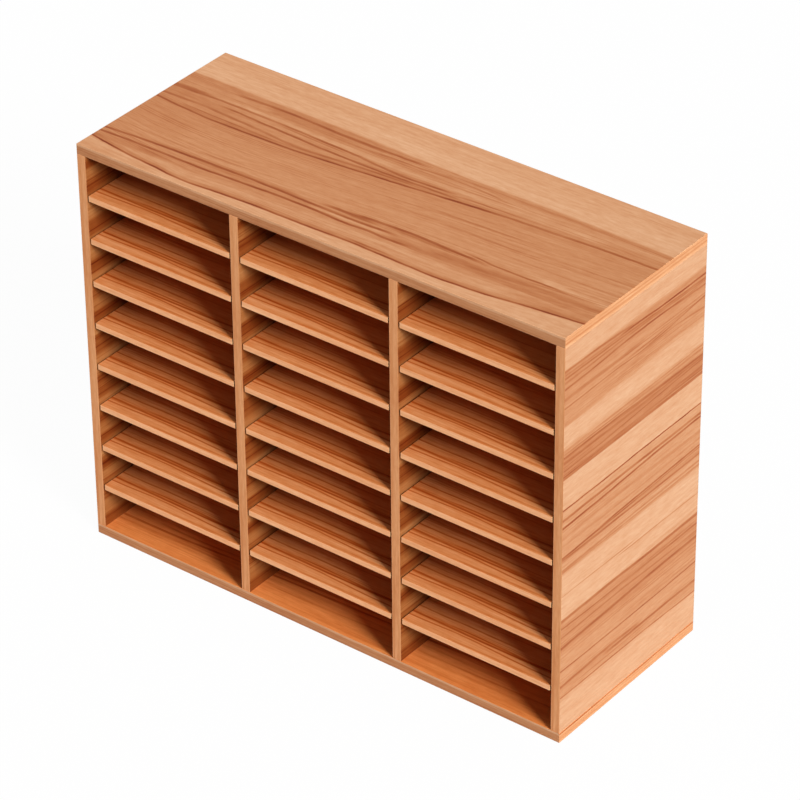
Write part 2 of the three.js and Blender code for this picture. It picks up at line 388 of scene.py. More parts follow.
# %% [markdown]
# ## A veneer
# A veneer finish is built in the order in which the wood grew. Broad bands of tone run across
# the leaf, from a curve. Bold figure lines are drawn over them, each along a curve through a few
# points. Streaks, hairlines and fibres vary what is left, and the hairlines gather where the bands
# are dark. Only then does the tone become a colour. Wood darkens with pigment, which takes away
# blue first, then green, and red last. So the palest colour is multiplied by the tone for red, by
# about its square for green and by about its cube for blue. These powers are the wood's pigment.
# Dark wood turns a deep orange brown in this way and never grey.
#
# Grain is not straight where the lines bend. A leaf can have guides, lines that the grain
# follows: the bands and streaks are measured from one guide to the next and not from the edge.

# %% A veneer
band_drift = 4.0
fibre_weight = 0.34
pore_weight = -0.05
veneer_shine = 0.12
pore_relief = 0.0001


def leaf_frame(tree, along, across, repeat):
    """Where a point lies in its leaf, in millimetres. Each axis is a letter, a sign and a zero."""
    axes = node(tree, "SeparateXYZ", {0: node(tree, "TexCoord").outputs["Object"]}).outputs
    measured = []
    for (letter, sign, zero), length in zip((along, across), repeat):
        place = maths(tree, "MULTIPLY_ADD", axes[letter], sign * mm, -sign * zero * mm)
        measured.append(maths(tree, "WRAP", place, length, 0.0) if length else place)
    through = ({"X", "Y", "Z"} - {along[0], across[0]}).pop()
    return *measured, maths(tree, "MULTIPLY", axes[through], mm)


def curve_through(tree, value, points, reach, height):
    """A smooth curve through points, for a value up to the reach and a result up to the height."""
    curve = node(tree, "FloatCurve", {"Value": maths(tree, "DIVIDE", value, reach)})
    course = curve.mapping.curves[0].points
    while len(course) < len(points):
        course.new(0.5, 0.5)
    for point, (place, rise) in zip(course, sorted(points)):
        point.location = (place / reach, rise / height)
        point.handle_type = "AUTO_CLAMPED"
    curve.mapping.extend = "HORIZONTAL"
    curve.mapping.update()
    return maths(tree, "MULTIPLY", curve.outputs[0], height)


def grain_flow(tree, along, across, guides, size):
    """How far across the grain a point lies, where the grain follows the guides."""
    courses = [0.0] + [curve_through(tree, along, points, *size) for _, points in guides] + [size[1]]
    levels = [0.0] + [level for level, _ in guides] + [size[1]]
    flow = 0.0
    for number in range(len(levels) - 1):
        rise = levels[number + 1] - levels[number]
        step = ranged(tree, across, courses[number], courses[number + 1], 0.0, rise)
        flow = maths(tree, "ADD", flow, step)
    return flow


def draw_lines(tree, tone, along, across, lines, size, waver):
    """Chains one figure line after another on the tone of a leaf."""
    calc, carry, noise = bound_to(tree)
    place = node(tree, "CombineXYZ", {"X": along, "Y": across}).outputs[0]
    wander = calc("SUBTRACT", noise(place, (0.03, 0.012, 0.0), 4.0, 0.6), 0.5)
    wandered = calc("MULTIPLY_ADD", wander, waver, across)
    ink = carry(noise(place, (0.02, 0.05, 0.0), 1.0), 0.3, 0.7, 0.65, 1.15)
    for strength, before, after, *points in lines:
        first = points[0][0] if points[0][0] > 1.0 else -2 * line_fade
        last = points[-1][0] if points[-1][0] < size[0] - 1.0 else size[0] + 2 * line_fade
        inputs = {
            "Tone": tone, "Ink": ink, "Along": along, "Across": wandered,
            "Course": curve_through(tree, along, points, *size),
            "Middle": (first + last) / 2, "Reach": (last - first) / 2,
            "Before": before, "After": after, "Strength": strength,
        }
        tone = node(tree, "Group", inputs, node_tree=line_group).outputs["Tone"]
    return tone


def veneer(
    name, axes, size, bands, lines, palest, streaks=0.3, hairs=0.1, repeat=(None, None), guides=(),
    waver=1.5, pigment=(1.0, 2.0, 3.0),
):
    """A veneered board's finish. The bands give a tone at places across, in millimetres."""
    material, tree, shader = new_material(name)
    calc, carry, noise = bound_to(tree)
    along, across, depth = leaf_frame(tree, *axes, repeat)
    flow = grain_flow(tree, along, across, guides, size) if guides else across
    leaf = node(tree, "CombineXYZ", {"X": along, "Y": flow, "Z": depth}).outputs[0]
    drift = calc("SUBTRACT", noise(leaf, (0.006, 0.02, 0.0), 2.0), 0.5)
    drifted = calc("MULTIPLY_ADD", drift, band_drift, flow)
    band_tone = curve_through(tree, drifted, bands, size[1], 1.0)
    tone = draw_lines(tree, band_tone, along, across, lines, size, waver)

    fibre = node(tree, "Group", {"Leaf": leaf}, node_tree=fibre_group).outputs
    grain = calc("MULTIPLY_ADD", fibre["Streaks"], streaks, 1.0)
    gathered = carry(band_tone, 1.0, 0.75, 0.0, hairs)
    grain = calc("SUBTRACT", grain, calc("MULTIPLY", fibre["Hairlines"], gathered))
    grain = calc("MULTIPLY_ADD", fibre["Fibre"], fibre_weight, grain)
    grain = calc("MULTIPLY_ADD", fibre["Pores"], pore_weight, grain)
    tone = calc("MULTIPLY", tone, grain)

    channels = {number: calc("POWER", tone, power) for number, power in enumerate(pigment)}
    stain = node(tree, "CombineColor", channels).outputs[0]
    stained = {0: 1.0, 6: (*palest, 1.0), 7: stain}
    wood = node(tree, "Mix", stained, data_type="RGBA", blend_type="MULTIPLY").outputs[2]
    wear_and_highlight = node(tree, "Group", {"Leaf": leaf}, node_tree=wear_highlight_group).outputs["Wear And Highlight"]
    # The arris turns towards the palest colour: partly wear, partly a painted highlight
    bare_and_highlit = {0: wear_and_highlight, 6: wood, 7: (*palest, 1.0)}
    worn_and_highlit = node(tree, "Mix", bare_and_highlit, data_type="RGBA").outputs[2]
    surface = {"Fibre": fibre["Fibre"], "Pores": fibre["Pores"], "Wear And Highlight": wear_and_highlight}
    coat = node(tree, "Group", surface, node_tree=coat_group).outputs
    bump = node(tree, "Bump", {"Strength": 0.25, "Distance": pore_relief, "Height": coat["Height"]})
    close(tree, shader, {
        "Base Color": worn_and_highlit,
        "Roughness": coat["Roughness"],
        "Specular IOR Level": veneer_shine,
        "Normal": bump.outputs[0],
    })
    print("Figure lines:", len(lines))
    return material


print("Veneer recipe ready")

# %% [markdown]
# ## The figure of the top
# The top shows the best leaf. A pale band runs along the back, and in front of it the rings
# wander: a bundle that rises to the right and crosses the board, a short broken line in the
# middle, a pair, and one long line that dips and climbs near the front edge. Each line is
# given as its strength, its width towards the back and towards the front, and the
# points that it passes through, in millimetres from the back left corner. The edge of the pale
# band, the lowest line of the bundle and the long front line guide the grain.

# %% The figure of the top
top_low, top_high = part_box("top_panel")
case_width, case_depth, case_height = [mm * side for side in cad_box[1] - cad_box[0]]
top_axes = (("X", 1.0, top_low.x), ("Y", -1.0, top_high.y))
top_size = (case_width, case_depth)
top_wood = (0.720, 0.383, 0.203)

band_edge = [(0, 66), (250, 67), (400, 71), (560, 70), (770, 73)]
bundle_line = [
    (0, 142), (50, 147), (102, 150), (200, 148.5), (252, 146), (352, 138), (442, 129), (530, 119.5),
    (620, 114), (700, 109.5), (770, 108),
]
front_line = [
    (0, 270), (52, 278.5), (115, 285), (167, 289.5), (240, 285), (390, 282), (425, 280.5), (505, 282.5),
    (550, 283.5), (605, 281), (640, 277.5), (667, 273.5), (730, 265.5), (770, 261),
]
top_guides = [(69, band_edge), (130, bundle_line), (277, front_line)]
top_bands = [
    (0, 0.94), (24, 0.94), (44, 0.98), (66, 0.97), (70, 0.80), (92, 0.79), (108, 0.785), (129, 0.76),
    (140, 0.78), (200, 0.82), (216, 0.83), (226, 0.77), (250, 0.79), (256, 0.85), (276, 0.87),
    (279, 0.93), (300, 0.95),
]
top_lines = [
    (0.09, 5, 18, (0, 69), (200, 69), (340, 74)),
    (0.38, 4, 2.5, (80, 79.5), (120, 77.5), (165, 76.5), (250, 79), (345, 79.5), (405, 77.5)),
    (0.09, 5.5, 3.5, (440, 77), (520, 79), (640, 76), (770, 78)),
    (0.11, 12, 5, (130, 86), (215, 88), (300, 88)),
    (0.21, 3, 2, (300, 90), (390, 87), (440, 84.5), (480, 85), (540, 90)),
    (0.13, 2.5, 2.5, (310, 93.5), (400, 92), (450, 93)),
    (-0.07, 14, 10, (440, 88), (560, 88), (770, 90)),
    (-0.13, 8, 7, (90, 98), (180, 101), (300, 102), (400, 104), (520, 102), (620, 100), (690, 99)),
    (0.10, 7, 6, (680, 95), (770, 94)),
    (0.08, 13, 13, (0, 116), (60, 119), (130, 121)),
    (0.38, 8, 5, (0, 105.5), (40, 103.5), (70, 102.5)),
    (0.35, 3.5, 2.5, (40, 104), (100, 103.5), (170, 104.5), (290, 109), (390, 116), (420, 115),
     (470, 111)),
    (0.18, 2, 2, (470, 113), (520, 110), (580, 109)),
    (0.17, 2, 2, (160, 107), (200, 109), (250, 111.5), (310, 114)),
    (0.38, 3, 2.5, (80, 113.5), (120, 115), (165, 117.5), (200, 119.5), (265, 122.5), (330, 124),
     (400, 122), (480, 119)),
    (0.25, 4, 2.5, (0, 129), (50, 127.5), (140, 132), (180, 134.5), (230, 138.5), (270, 136.5),
     (330, 131), (430, 124)),
    (0.18, 2, 2, (40, 139), (110, 140.5), (160, 142), (210, 143)),
    (0.09, 9, 1, *bundle_line[:8]),
    (0.39, 3.5, 2, *bundle_line[:8]),
    (0.31, 3.5, 2.5, *bundle_line[6:]),
    (0.07, 40, 40, (0, 188), (50, 190), (110, 195)),
    (0.11, 2.5, 2.5, (430, 158), (500, 155), (560, 153), (640, 152)),
    (-0.08, 5, 5, (560, 135), (620, 131), (690, 127)),
    (0.11, 3.5, 2.5, (560, 168), (660, 164), (770, 158)),
    (0.09, 2.5, 3.5, (430, 177), (540, 175), (660, 177)),
    (0.11, 2.5, 2.5, (580, 192), (680, 190), (770, 187)),
    (0.10, 2.5, 2.5, (0, 221), (120, 223), (220, 219)),
    (-0.16, 8, 6, (650, 212), (700, 213), (770, 214)),
    (0.40, 4, 4, (340, 228.5), (370, 227.5), (404, 228), (440, 226)),
    (0.43, 4, 3, (376, 225.5), (400, 224), (430, 222), (492, 220), (540, 221.5), (600, 224)),
    (0.21, 3, 3, (440, 225), (500, 224.5), (560, 225)),
    (0.32, 2.5, 2, (550, 215), (575, 216.5), (600, 219), (640, 219.5), (690, 217.5), (715, 219)),
    (0.16, 8, 6, (510, 236), (580, 236), (660, 232), (770, 230)),
    (0.17, 9, 2.5, (60, 240), (127, 238), (252, 235.5), (340, 236.5)),
    (0.41, 3.5, 2.5, (0, 245), (52, 241), (127, 238), (252, 235.5), (330, 236.5), (390, 237),
     (470, 234)),
    (-0.18, 3, 3, (330, 241.5), (400, 241.5), (470, 240)),
    (0.41, 3.5, 2.5, (0, 254.5), (40, 253), (127, 252.5), (165, 252.5), (202, 251), (327, 246.5),
     (400, 248.5), (430, 246.5), (455, 248), (500, 246.5)),
    (0.15, 11, 3.5, (440, 247), (520, 246.5), (600, 245), (770, 245)),
    (0.10, 5, 5, (130, 241.5), (250, 240)),
    (0.17, 10, 8, (0, 262), (60, 263), (130, 261)),
    (-0.05, 8, 8, (330, 259), (450, 260), (580, 258)),
    (0.09, 6, 12, (0, 289), (140, 292)),
    (0.24, 2, 2, (410, 276), (440, 275.5), (500, 276)),
    (0.09, 12, 5, (640, 261), (700, 259), (770, 255)),
    (0.19, 10.5, 1, *front_line),
    (0.50, 3, 2, *front_line),
]
top_veneer = veneer(
    "top veneer", top_axes, top_size, top_bands, top_lines, top_wood, streaks=0.18, hairs=0.15,
    guides=top_guides, waver=2.5,
)

# %% [markdown]
# ## The figure of the sides
# On the sides the rings are cut almost square, so they run straight from front to back as
# stripes: pale sapwood between bundles of dark lines. The curve of tones carries the stripes, and
# the lines are nearly straight, with their places counted in millimetres from the front edge
# and from the top of the case.

# %% The figure of the sides
side_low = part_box("right_side")[0]
side_axes = (("Y", 1.0, side_low.y), ("Z", -1.0, cad_box[1].z))
side_size = (case_depth, case_height)
# Painted shade: darker than the top's wood, to offset the side lamp, which lights the right side more
# strongly than the top
dimmed_side_wood = (0.521, 0.284, 0.154)

side_bands = [
    (15, 0.97), (44, 0.97), (49, 0.79), (72, 0.79), (80, 0.82), (118, 0.84), (132, 0.98), (154, 0.99),
    (160, 0.885), (170, 0.86), (174, 0.75), (186, 0.735), (205, 0.77), (206.5, 0.98), (249, 0.98),
    (252, 0.89), (264, 0.88), (272, 0.86), (316, 0.86), (326, 0.77), (330, 0.89), (345, 0.87),
    (352, 0.99), (414, 0.98), (419, 0.85), (432, 0.80), (464, 0.775), (472, 0.85), (494, 0.855),
    (514, 0.86), (530, 0.83), (541, 0.91), (548, 0.985),
]
side_lines = [
    (0.27, 2.5, 2, (0, 48.5), (70, 49), (120, 51.5), (160, 54)),
    (0.14, 2, 2, (0, 53.5), (60, 55), (150, 55.5)),
    (0.49, 2, 2, (110, 55), (160, 55.5), (220, 57), (300, 56.5)),
    (0.24, 2, 2, (0, 58.5), (100, 59), (200, 61), (300, 63)),
    (0.18, 2, 2, (0, 65), (150, 63.5), (300, 66)),
    (0.31, 2, 2, (0, 74), (60, 72.5), (120, 69.5), (150, 68.5), (190, 68.5), (230, 70), (300, 72.5)),
    (0.17, 4, 3.5, (0, 89), (110, 89), (170, 87)),
    (0.27, 1.5, 1.5, (0, 101.5), (60, 100.5), (110, 100), (150, 101), (190, 99.5), (230, 96),
     (300, 89)),
    (0.18, 1.5, 1.5, (130, 97), (200, 95), (250, 92)),
    (0.17, 2, 2, (150, 103), (230, 101.5), (300, 106)),
    (0.12, 3.5, 3.5, (0, 126), (90, 126)),
    (0.16, 1.5, 1.5, (60, 164), (180, 164), (300, 161)),
    (0.16, 1.5, 1.5, (0, 168), (120, 168.5), (300, 167)),
    (0.24, 2, 3.5, (0, 173), (100, 172.5), (200, 175), (300, 176)),
    (0.18, 2, 2, (0, 180), (150, 181), (300, 180)),
    (0.24, 1.5, 1.5, (0, 192.5), (80, 192), (130, 190), (200, 187), (300, 183)),
    (0.19, 2.5, 2, (0, 201), (100, 199), (300, 198)),
    (0.27, 4, 1, (0, 205.5), (300, 205)),
    (0.55, 1.8, 1.5, (0, 251), (100, 251), (170, 249.8), (300, 249.8)),
    (0.35, 3.5, 2, (0, 266.5), (150, 265.5), (300, 265.5)),
    (0.44, 2.5, 2, (0, 277.5), (70, 276), (135, 274), (180, 272), (230, 271), (300, 270.5)),
    (0.10, 3.5, 3.5, (0, 291), (150, 290), (300, 293)),
    (0.10, 2, 2, (0, 304), (150, 305), (300, 303)),
    (0.37, 2, 2.5, (0, 322), (70, 320), (115, 317.5), (170, 316), (300, 313.5)),
    (0.24, 1.5, 1.5, (90, 321.5), (200, 319), (300, 317.5)),
    (0.28, 2.5, 1.5, (0, 325.5), (150, 327), (300, 327.5)),
    (0.20, 2.5, 2, (0, 341), (60, 340.5), (150, 339), (300, 338)),
    (0.17, 2.5, 2, (0, 344), (150, 344), (300, 344)),
    (0.21, 1.5, 1.5, (0, 380.5), (60, 381), (110, 382), (170, 382.5)),
    (0.24, 1.5, 1.5, (110, 386), (200, 387), (300, 388)),
    (0.35, 2.5, 4, (0, 418), (100, 418), (200, 420), (300, 420)),
    (0.28, 1.5, 2, (0, 430), (60, 432), (115, 433), (200, 434.5), (300, 435)),
    (0.17, 2, 2, (0, 444), (110, 443), (200, 446), (300, 447.5)),
    (0.10, 5, 2, (160, 415), (300, 413)),
    (0.33, 2.5, 4, (0, 460), (60, 459), (135, 457.5), (220, 455.5), (300, 456)),
    (0.11, 2, 2, (0, 476), (150, 474), (300, 477)),
    (0.42, 1.5, 1.5, (0, 496), (60, 497), (200, 497.5), (300, 496)),
    (0.33, 2.5, 3.5, (0, 520), (50, 519), (110, 518), (180, 520)),
    (0.30, 2, 3.5, (90, 524), (170, 524), (230, 524.5), (300, 525.5)),
    (0.15, 1.5, 1.5, (20, 530), (110, 531), (200, 530)),
    (0.37, 1.5, 1.5, (0, 538), (135, 539), (200, 540), (250, 542), (300, 543)),
]
side_veneer = veneer(
    "side veneer", side_axes, side_size, side_bands, side_lines, dimmed_side_wood, streaks=0.14, hairs=0.20,
    pigment=(0.95, 2.1, 3.25),
)

# %% [markdown]
# ## The faces inside
# The faces of the uprights inside the pigeonholes have the same straight stripes, in a colour
# darkened to stand for the shade inside the pigeonholes: painted shade. Their bands mix real
# stripes with painted shade, with a dark band just under the top board. The upper face of the
# bottom board and the shelves have long quiet leaves of a redder wood. All the shelves come from
# one long sheet, cut at the same place, so their lines repeat from column to column, while the
# fine streaks differ from level to level.

# %% The faces inside
# These bands mix real stripes with painted shade, darkest just under the top board
inner_stripes_and_shade = [
    (15, 0.72), (21, 0.68), (24, 0.44), (34, 0.50), (36, 0.71), (50, 0.71), (53, 0.52), (62, 0.48),
    (88, 0.82), (110, 0.72), (113, 0.50), (129, 0.47), (136, 0.66), (158, 0.75), (172, 0.66),
    (175, 0.44), (191, 0.48), (197, 0.74), (218, 0.56), (246, 0.73), (256, 0.43), (282, 0.80),
    (292, 0.50), (316, 0.56), (322, 0.77), (344, 0.76), (350, 0.53), (360, 0.46), (368, 0.60),
    (382, 0.50), (392, 0.80), (412, 0.52), (425, 0.53), (430, 0.72), (441, 0.70), (447, 0.47),
    (474, 0.86), (491, 0.42), (498, 0.46), (502, 0.70), (512, 0.74), (519, 0.59), (546, 0.58),
    (554, 0.73), (571, 0.69), (578, 0.49), (593, 0.49),
]
inner_courses = [
    (0.39, 52, 54), (0.30, 59.5, 62), (0.36, 127, 124), (0.39, 177, 179), (0.36, 190.5, 188), (0.24,
    226, 229), (0.36, 257.5, 255), (0.39, 291, 294), (0.27, 305, 307), (0.39, 358.5, 356), (0.30, 370.5,
    371), (0.33, 380, 383), (0.36, 422, 420), (0.39, 446, 449), (0.39, 491, 488), (0.30, 517, 519),
    (0.36, 541, 544), (0.30, 547.5, 550), (0.33, 579, 582),
]
inner_width = 1.5
inner_lines = [
    (strength, inner_width, inner_width, (0, at_front), (case_depth, at_back))
    for strength, at_front, at_back in inner_courses
]
# Painted shade: this colour is darkened for the shade inside the pigeonholes
shaded_inner_wood = (0.390, 0.190, 0.073)
shaded_inner_veneer = veneer(
    "shaded inner veneer", side_axes, side_size, inner_stripes_and_shade, inner_lines, shaded_inner_wood,
    streaks=0.36, hairs=0.22,
)

shelf_low, shelf_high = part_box("shelf_left_1")
column_pitch = mm * (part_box("shelf_centre_1")[0].x - shelf_low.x)
shelf_axes = (("X", 1.0, shelf_low.x), ("Y", 1.0, shelf_low.y))
shelf_size = (column_pitch, mm * (shelf_high.y - shelf_low.y))
# The tones fall from the front towards the back: partly figure, partly painted shade deeper in the
# pigeonholes
shelf_figure_and_shade = [
    (0, 0.90), (6, 0.945), (10, 0.96), (13, 0.93), (19, 0.90), (22, 0.82), (27, 0.82), (30, 0.88),
    (36, 0.88), (44, 0.89), (60, 0.86), (90, 0.90), (140, 0.80), (190, 0.92), (230, 0.82), (286, 0.92),
]
shelf_lines = [
    (0.14, 2.5, 2.5, (70, 2), (120, 3), (170, 3.5), (252, 4)),
    (0.31, 1.7, 1.9, (0, 15), (20, 15.3), (60, 17), (90, 17.3), (120, 16.3), (150, 14.7), (180, 13.5),
     (252, 12)),
    (0.34, 2.5, 2.3, (0, 23.5), (50, 23), (100, 22), (160, 22.3), (252, 25)),
    (0.28, 2.1, 1.7, (40, 25), (60, 26), (90, 27), (140, 26), (190, 24)),
    (0.30, 1.9, 1.9, (0, 38), (30, 37.6), (80, 38.4), (170, 38)),
    (0.15, 2.5, 1.7, (0, 55), (120, 53), (252, 57)),
    (0.24, 3, 2, (0, 84), (120, 80), (252, 88)),
    (0.27, 2, 6, (0, 128), (120, 134), (252, 126)),
    (0.24, 4, 2, (0, 170), (120, 166), (252, 174)),
    (0.27, 2, 4, (0, 214), (120, 222), (252, 216)),
]
shelf_wood = (0.775, 0.326, 0.126)
shelf_veneer = veneer(
    "shelf veneer", shelf_axes, shelf_size, shelf_figure_and_shade, shelf_lines, shelf_wood,
    streaks=0.30, hairs=0.27, repeat=(column_pitch, None), pigment=(1.0, 2.4, 4.2),
)

bottom_low, bottom_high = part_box("bottom_panel")
bottom_axes = (("X", 1.0, bottom_low.x), ("Y", 1.0, bottom_low.y))
bottom_bands = [(0, 0.90), (30, 0.92), (60, 0.88), (90, 0.84), (150, 0.90), (220, 0.84), (300, 0.90)]
bottom_lines = [
    (0.34, 3, 2.5, (0, 39), (94, 40), (214, 46.5), (306, 51), (446, 56), (770, 72)),
    (0.24, 3, 2, (60, 51), (124, 50.5), (200, 54), (330, 60), (450, 64)),
    (0.12, 2, 2, (270, 28), (360, 31), (430, 34), (480, 36)),
    (0.14, 2.5, 2, (500, 33), (578, 33.5), (650, 35.5), (770, 38)),
    (0.10, 3, 3, (500, 23), (600, 24), (770, 22)),
    (0.10, 2, 3, (0, 30), (120, 32), (240, 33)),
    (0.24, 3, 3, (0, 110), (300, 118), (770, 108)),
    (0.24, 4, 2, (0, 170), (400, 178), (770, 166)),
    (0.24, 2, 4, (0, 230), (350, 222), (770, 236)),
]
bottom_wood = (0.840, 0.292, 0.080)
bottom_veneer = veneer(
    "bottom veneer", bottom_axes, top_size, bottom_bands, bottom_lines, bottom_wood,
    streaks=0.36, hairs=0.24,
)

# %% [markdown]
# ## Edge bands
# The cut edges of a veneered board are covered with a thin strip of wood. The strips come from
# other stock than the leaves, so their colours differ: the shelves have the palest fronts, the
# uprights a warm even one, and the top and bottom a browner one. The front strips are also set
# paler than the wood, to make up for the weaker light on the front faces: painted light. A strip
# is made with the same veneer recipe, but it has no figure lines, only bands along its own length.

# %% Edge bands
deck_thickness = mm * (top_high.z - top_low.z)
strip_start = -0.5
strip_length = 1000.0


def deck_edge(name, axis, board_top, bands, wood):
    """The strip along an edge of the top or the bottom board."""
    axes = ((axis, 1.0, strip_start), ("Z", -1.0, board_top))
    return veneer(name, axes, (strip_length, deck_thickness), bands, [], wood, streaks=0.30, hairs=0.24)


lower_bands = [(4, 0.80), (6, 0.83), (7.5, 0.76), (9.5, 0.80), (12, 0.76), (15, 0.76)]
# Painted light: set paler to make up for the weaker light on the front faces
brightened_deck_wood = (0.657, 0.352, 0.186)
end_wood = (0.612, 0.316, 0.154)
top_front_bands = [(0, 0.97), (2.6, 0.96)] + lower_bands
bottom_front_bands = [(0, 0.98), (2.6, 0.98)] + lower_bands
top_end_bands = [
    (0, 0.86), (1, 0.93), (2.8, 0.93), (4.4, 0.82), (6.3, 0.93), (7.2, 0.92), (9.2, 0.81), (10.4, 0.83),
    (12, 0.96), (15, 1.02),
]
bottom_end_bands = [
    (0, 0.60), (1.2, 0.62), (2.4, 0.86), (3.7, 0.95), (5.6, 0.86), (7.5, 0.93), (10.3, 0.85),
    (12, 0.90), (15, 0.98),
]
top_front = deck_edge("top front band", "X", top_high.z, top_front_bands, brightened_deck_wood)
bottom_front = deck_edge("bottom front band", "X", bottom_high.z, bottom_front_bands, brightened_deck_wood)
top_end = deck_edge("top end band", "Y", top_high.z, top_end_bands, end_wood)
bottom_end = deck_edge("bottom end band", "Y", bottom_high.z, bottom_end_bands, end_wood)

upright_thickness = 0.014
upright_axes = (("Z", 1.0, 0.0), ("X", 1.0, cad_box[0].x))
upright_bands = [(0, 0.83), (3, 0.76), (7, 0.84), (11, 0.79), (14, 0.81)]
# Painted light: set paler to make up for the weaker light on the front faces
brightened_upright_wood = (0.880, 0.468, 0.234)
upright_size = (case_height, mm * upright_thickness)
upright_front = veneer(
    "upright front band", upright_axes, upright_size, upright_bands, [], brightened_upright_wood,
    streaks=0.36, hairs=0.16, repeat=(None, column_pitch),
)

shelf_front_axes = (("X", 1.0, shelf_low.x), ("Z", 1.0, 0.0))
shelf_front_size = (column_pitch, case_height)
shelf_front_bands = [(0, 0.95), (case_height, 0.95)]
# Painted light: set paler to make up for the weaker light on the front faces
brightened_shelf_front_wood = (0.905, 0.455, 0.225)
shelf_front = veneer(
    "shelf front band", shelf_front_axes, shelf_front_size, shelf_front_bands, [], brightened_shelf_front_wood,
    streaks=0.26, hairs=0.06,
)

# %% [markdown]
# ## Board core, back board and zinc
# Where no strip covers an edge, as at the ends of the shelves, the core shows: pressed wood
# chips, pale and dark, in a brown ground. The back is a thin hardboard sheet with the matt
# felted look of pressed fibre. The pins, screws, cams and bolts are zinc plated steel, dulled
# in patches, with fine turning marks.

# %% Board core, back board and zinc
board_shine = 0.25


def mottled(name, woods, chip, roughness, relief):
    """A pressed board: flakes of three tones, with a grain of the given size in millimetres."""
    material, tree, shader = new_material(name)
    calc, carry, noise = bound_to(tree)
    place = node(tree, "TexCoord").outputs["Object"]
    flakes = node(tree, "TexVoronoi", {"Vector": place, "Scale": mm / chip, "Randomness": 1.0})
    flake_tone = node(tree, "SeparateColor", {0: flakes.outputs["Color"]}).outputs[0]
    felt = noise(place, (0.4 * mm / chip,) * 3, 4.0)
    tone = calc("MULTIPLY_ADD", calc("SUBTRACT", felt, 0.5), 0.9, flake_tone)
    dark, middle, light = woods
    bump = node(tree, "Bump", {"Strength": 0.5, "Distance": relief, "Height": tone})
    close(tree, shader, {
        "Base Color": stepped_ramp(tree, tone, [(0.1, dark), (0.5, middle), (0.95, light)]),
        "Roughness": carry(felt, 0.2, 0.8, roughness - 0.08, roughness + 0.08),
        "Specular IOR Level": board_shine,
        "Normal": bump.outputs[0],
    })
    return material


core_woods = ((0.20, 0.090, 0.032), (0.40, 0.200, 0.082), (0.58, 0.340, 0.160))
chip_core = mottled("chip core", core_woods, chip=1.6, roughness=0.8, relief=0.0002)
back_woods = ((0.22, 0.098, 0.040), (0.31, 0.150, 0.066), (0.38, 0.200, 0.096))
hardboard = mottled("hardboard", back_woods, chip=0.9, roughness=0.62, relief=0.0001)

zinc_tones = [(0.3, (0.46, 0.45, 0.42)), (0.7, (0.66, 0.66, 0.64))]
zinc, tree, shader = new_material("zinc plate")
place = node(tree, "TexCoord").outputs["Object"]
cloud = stretched_noise(tree, place, (260.0,) * 3, 3.0)
marks = stretched_noise(tree, place, (2600.0,) * 3, 1.0)
bump = node(tree, "Bump", {"Strength": 0.2, "Distance": 0.00005, "Height": marks})
close(tree, shader, {
    "Base Color": stepped_ramp(tree, cloud, zinc_tones),
    "Roughness": ranged(tree, cloud, 0.3, 0.7, 0.48, 0.30),
    "Metallic": 1.0,
    "Normal": bump.outputs[0],
})

# %% [markdown]
# ## A board
# A board could stay the plain block of the frame, but a sawn block looks like paper: light runs
# along a real edge because it is eased. Here a cube is scaled to the board's corners, its
# edges are bevelled in three steps, and six planes cut a narrow strip along every edge. The
# arris value is 1 on the bevel and fades across these strips.

# %% A board
arris_width = 0.0006
arris_steps = 3
strip_width = 0.0012
hole_steps = 40
flat = 0.999
squarely = 0.6


def board_shape(low, high):
    """A board between two corners, with eased edges, strips and the arris value."""
    shape = bmesh.new()
    bmesh.ops.create_cube(shape, size=1.0)
    bmesh.ops.scale(shape, vec=high - low, verts=shape.verts)
    bmesh.ops.translate(shape, vec=(low + high) / 2, verts=shape.verts)
    bmesh.ops.bevel(
        shape, geom=shape.edges[:], offset=arris_width, segments=arris_steps, profile=0.5,
        affect="EDGES", material=-1,
    )
    for axis in range(3):
        for place in (low[axis] + strip_width, high[axis] - strip_width):
            everything = shape.verts[:] + shape.edges[:] + shape.faces[:]
            plane = Matrix.Identity(3)[axis]
            bmesh.ops.bisect_plane(shape, geom=everything, plane_co=plane * place, plane_no=plane)
    arris = shape.verts.layers.float.new("arris")
    for corner in shape.verts:
        sides = zip(corner.co - low, high - corner.co)
        depths = sorted(min(side) for side in sides)
        past_bevel = max(0.0, depths[1] - arris_width / 3)
        corner[arris] = max(0.0, 1.0 - past_bevel / (strip_width - arris_width / 3))
    for face in shape.faces:
        face.smooth = max(abs(part) for part in face.normal) < flat
    return shape


def paint(shape, front, rear, left, right, up=0, down=0, level=squarely):
    """Gives each face the number of its finish. The level is how squarely one must face up or down."""
    for face in shape.faces:
        normal = face.normal
        if abs(normal.z) > level:
            face.material_index = up if normal.z > 0 else down
        elif abs(normal.x) > squarely:
            face.material_index = left if normal.x < 0 else right
        else:
            face.material_index = front if normal.y < 0 else rear


def drill(cutter, radius, length, place):
    """Adds the room of a round hole to a cutter, set in place by a matrix."""
    bmesh.ops.create_cone(
        cutter, cap_ends=True, segments=hole_steps, radius1=radius, radius2=radius, depth=length,
        matrix=place,
    )


def cut_out(shape, cutter, finishes, hole_finish):
    """A shape with the cutter's room taken out of it, and one of its finishes in the holes."""
    for face in cutter.faces:
        face.material_index = finishes.index(hole_finish)
    board = object_from("cut board", shape, finishes)
    tool = object_from("cutter", cutter, finishes)
    opening = board.modifiers.new("opening", "BOOLEAN")
    opening.operation = "DIFFERENCE"
    opening.solver = "EXACT"
    opening.object = tool
    result = bmesh.new()
    result.from_object(board, bpy.context.evaluated_depsgraph_get())
    for part in (board, tool):
        mesh = part.data
        bpy.data.objects.remove(part)
        bpy.data.meshes.remove(mesh)
    return result


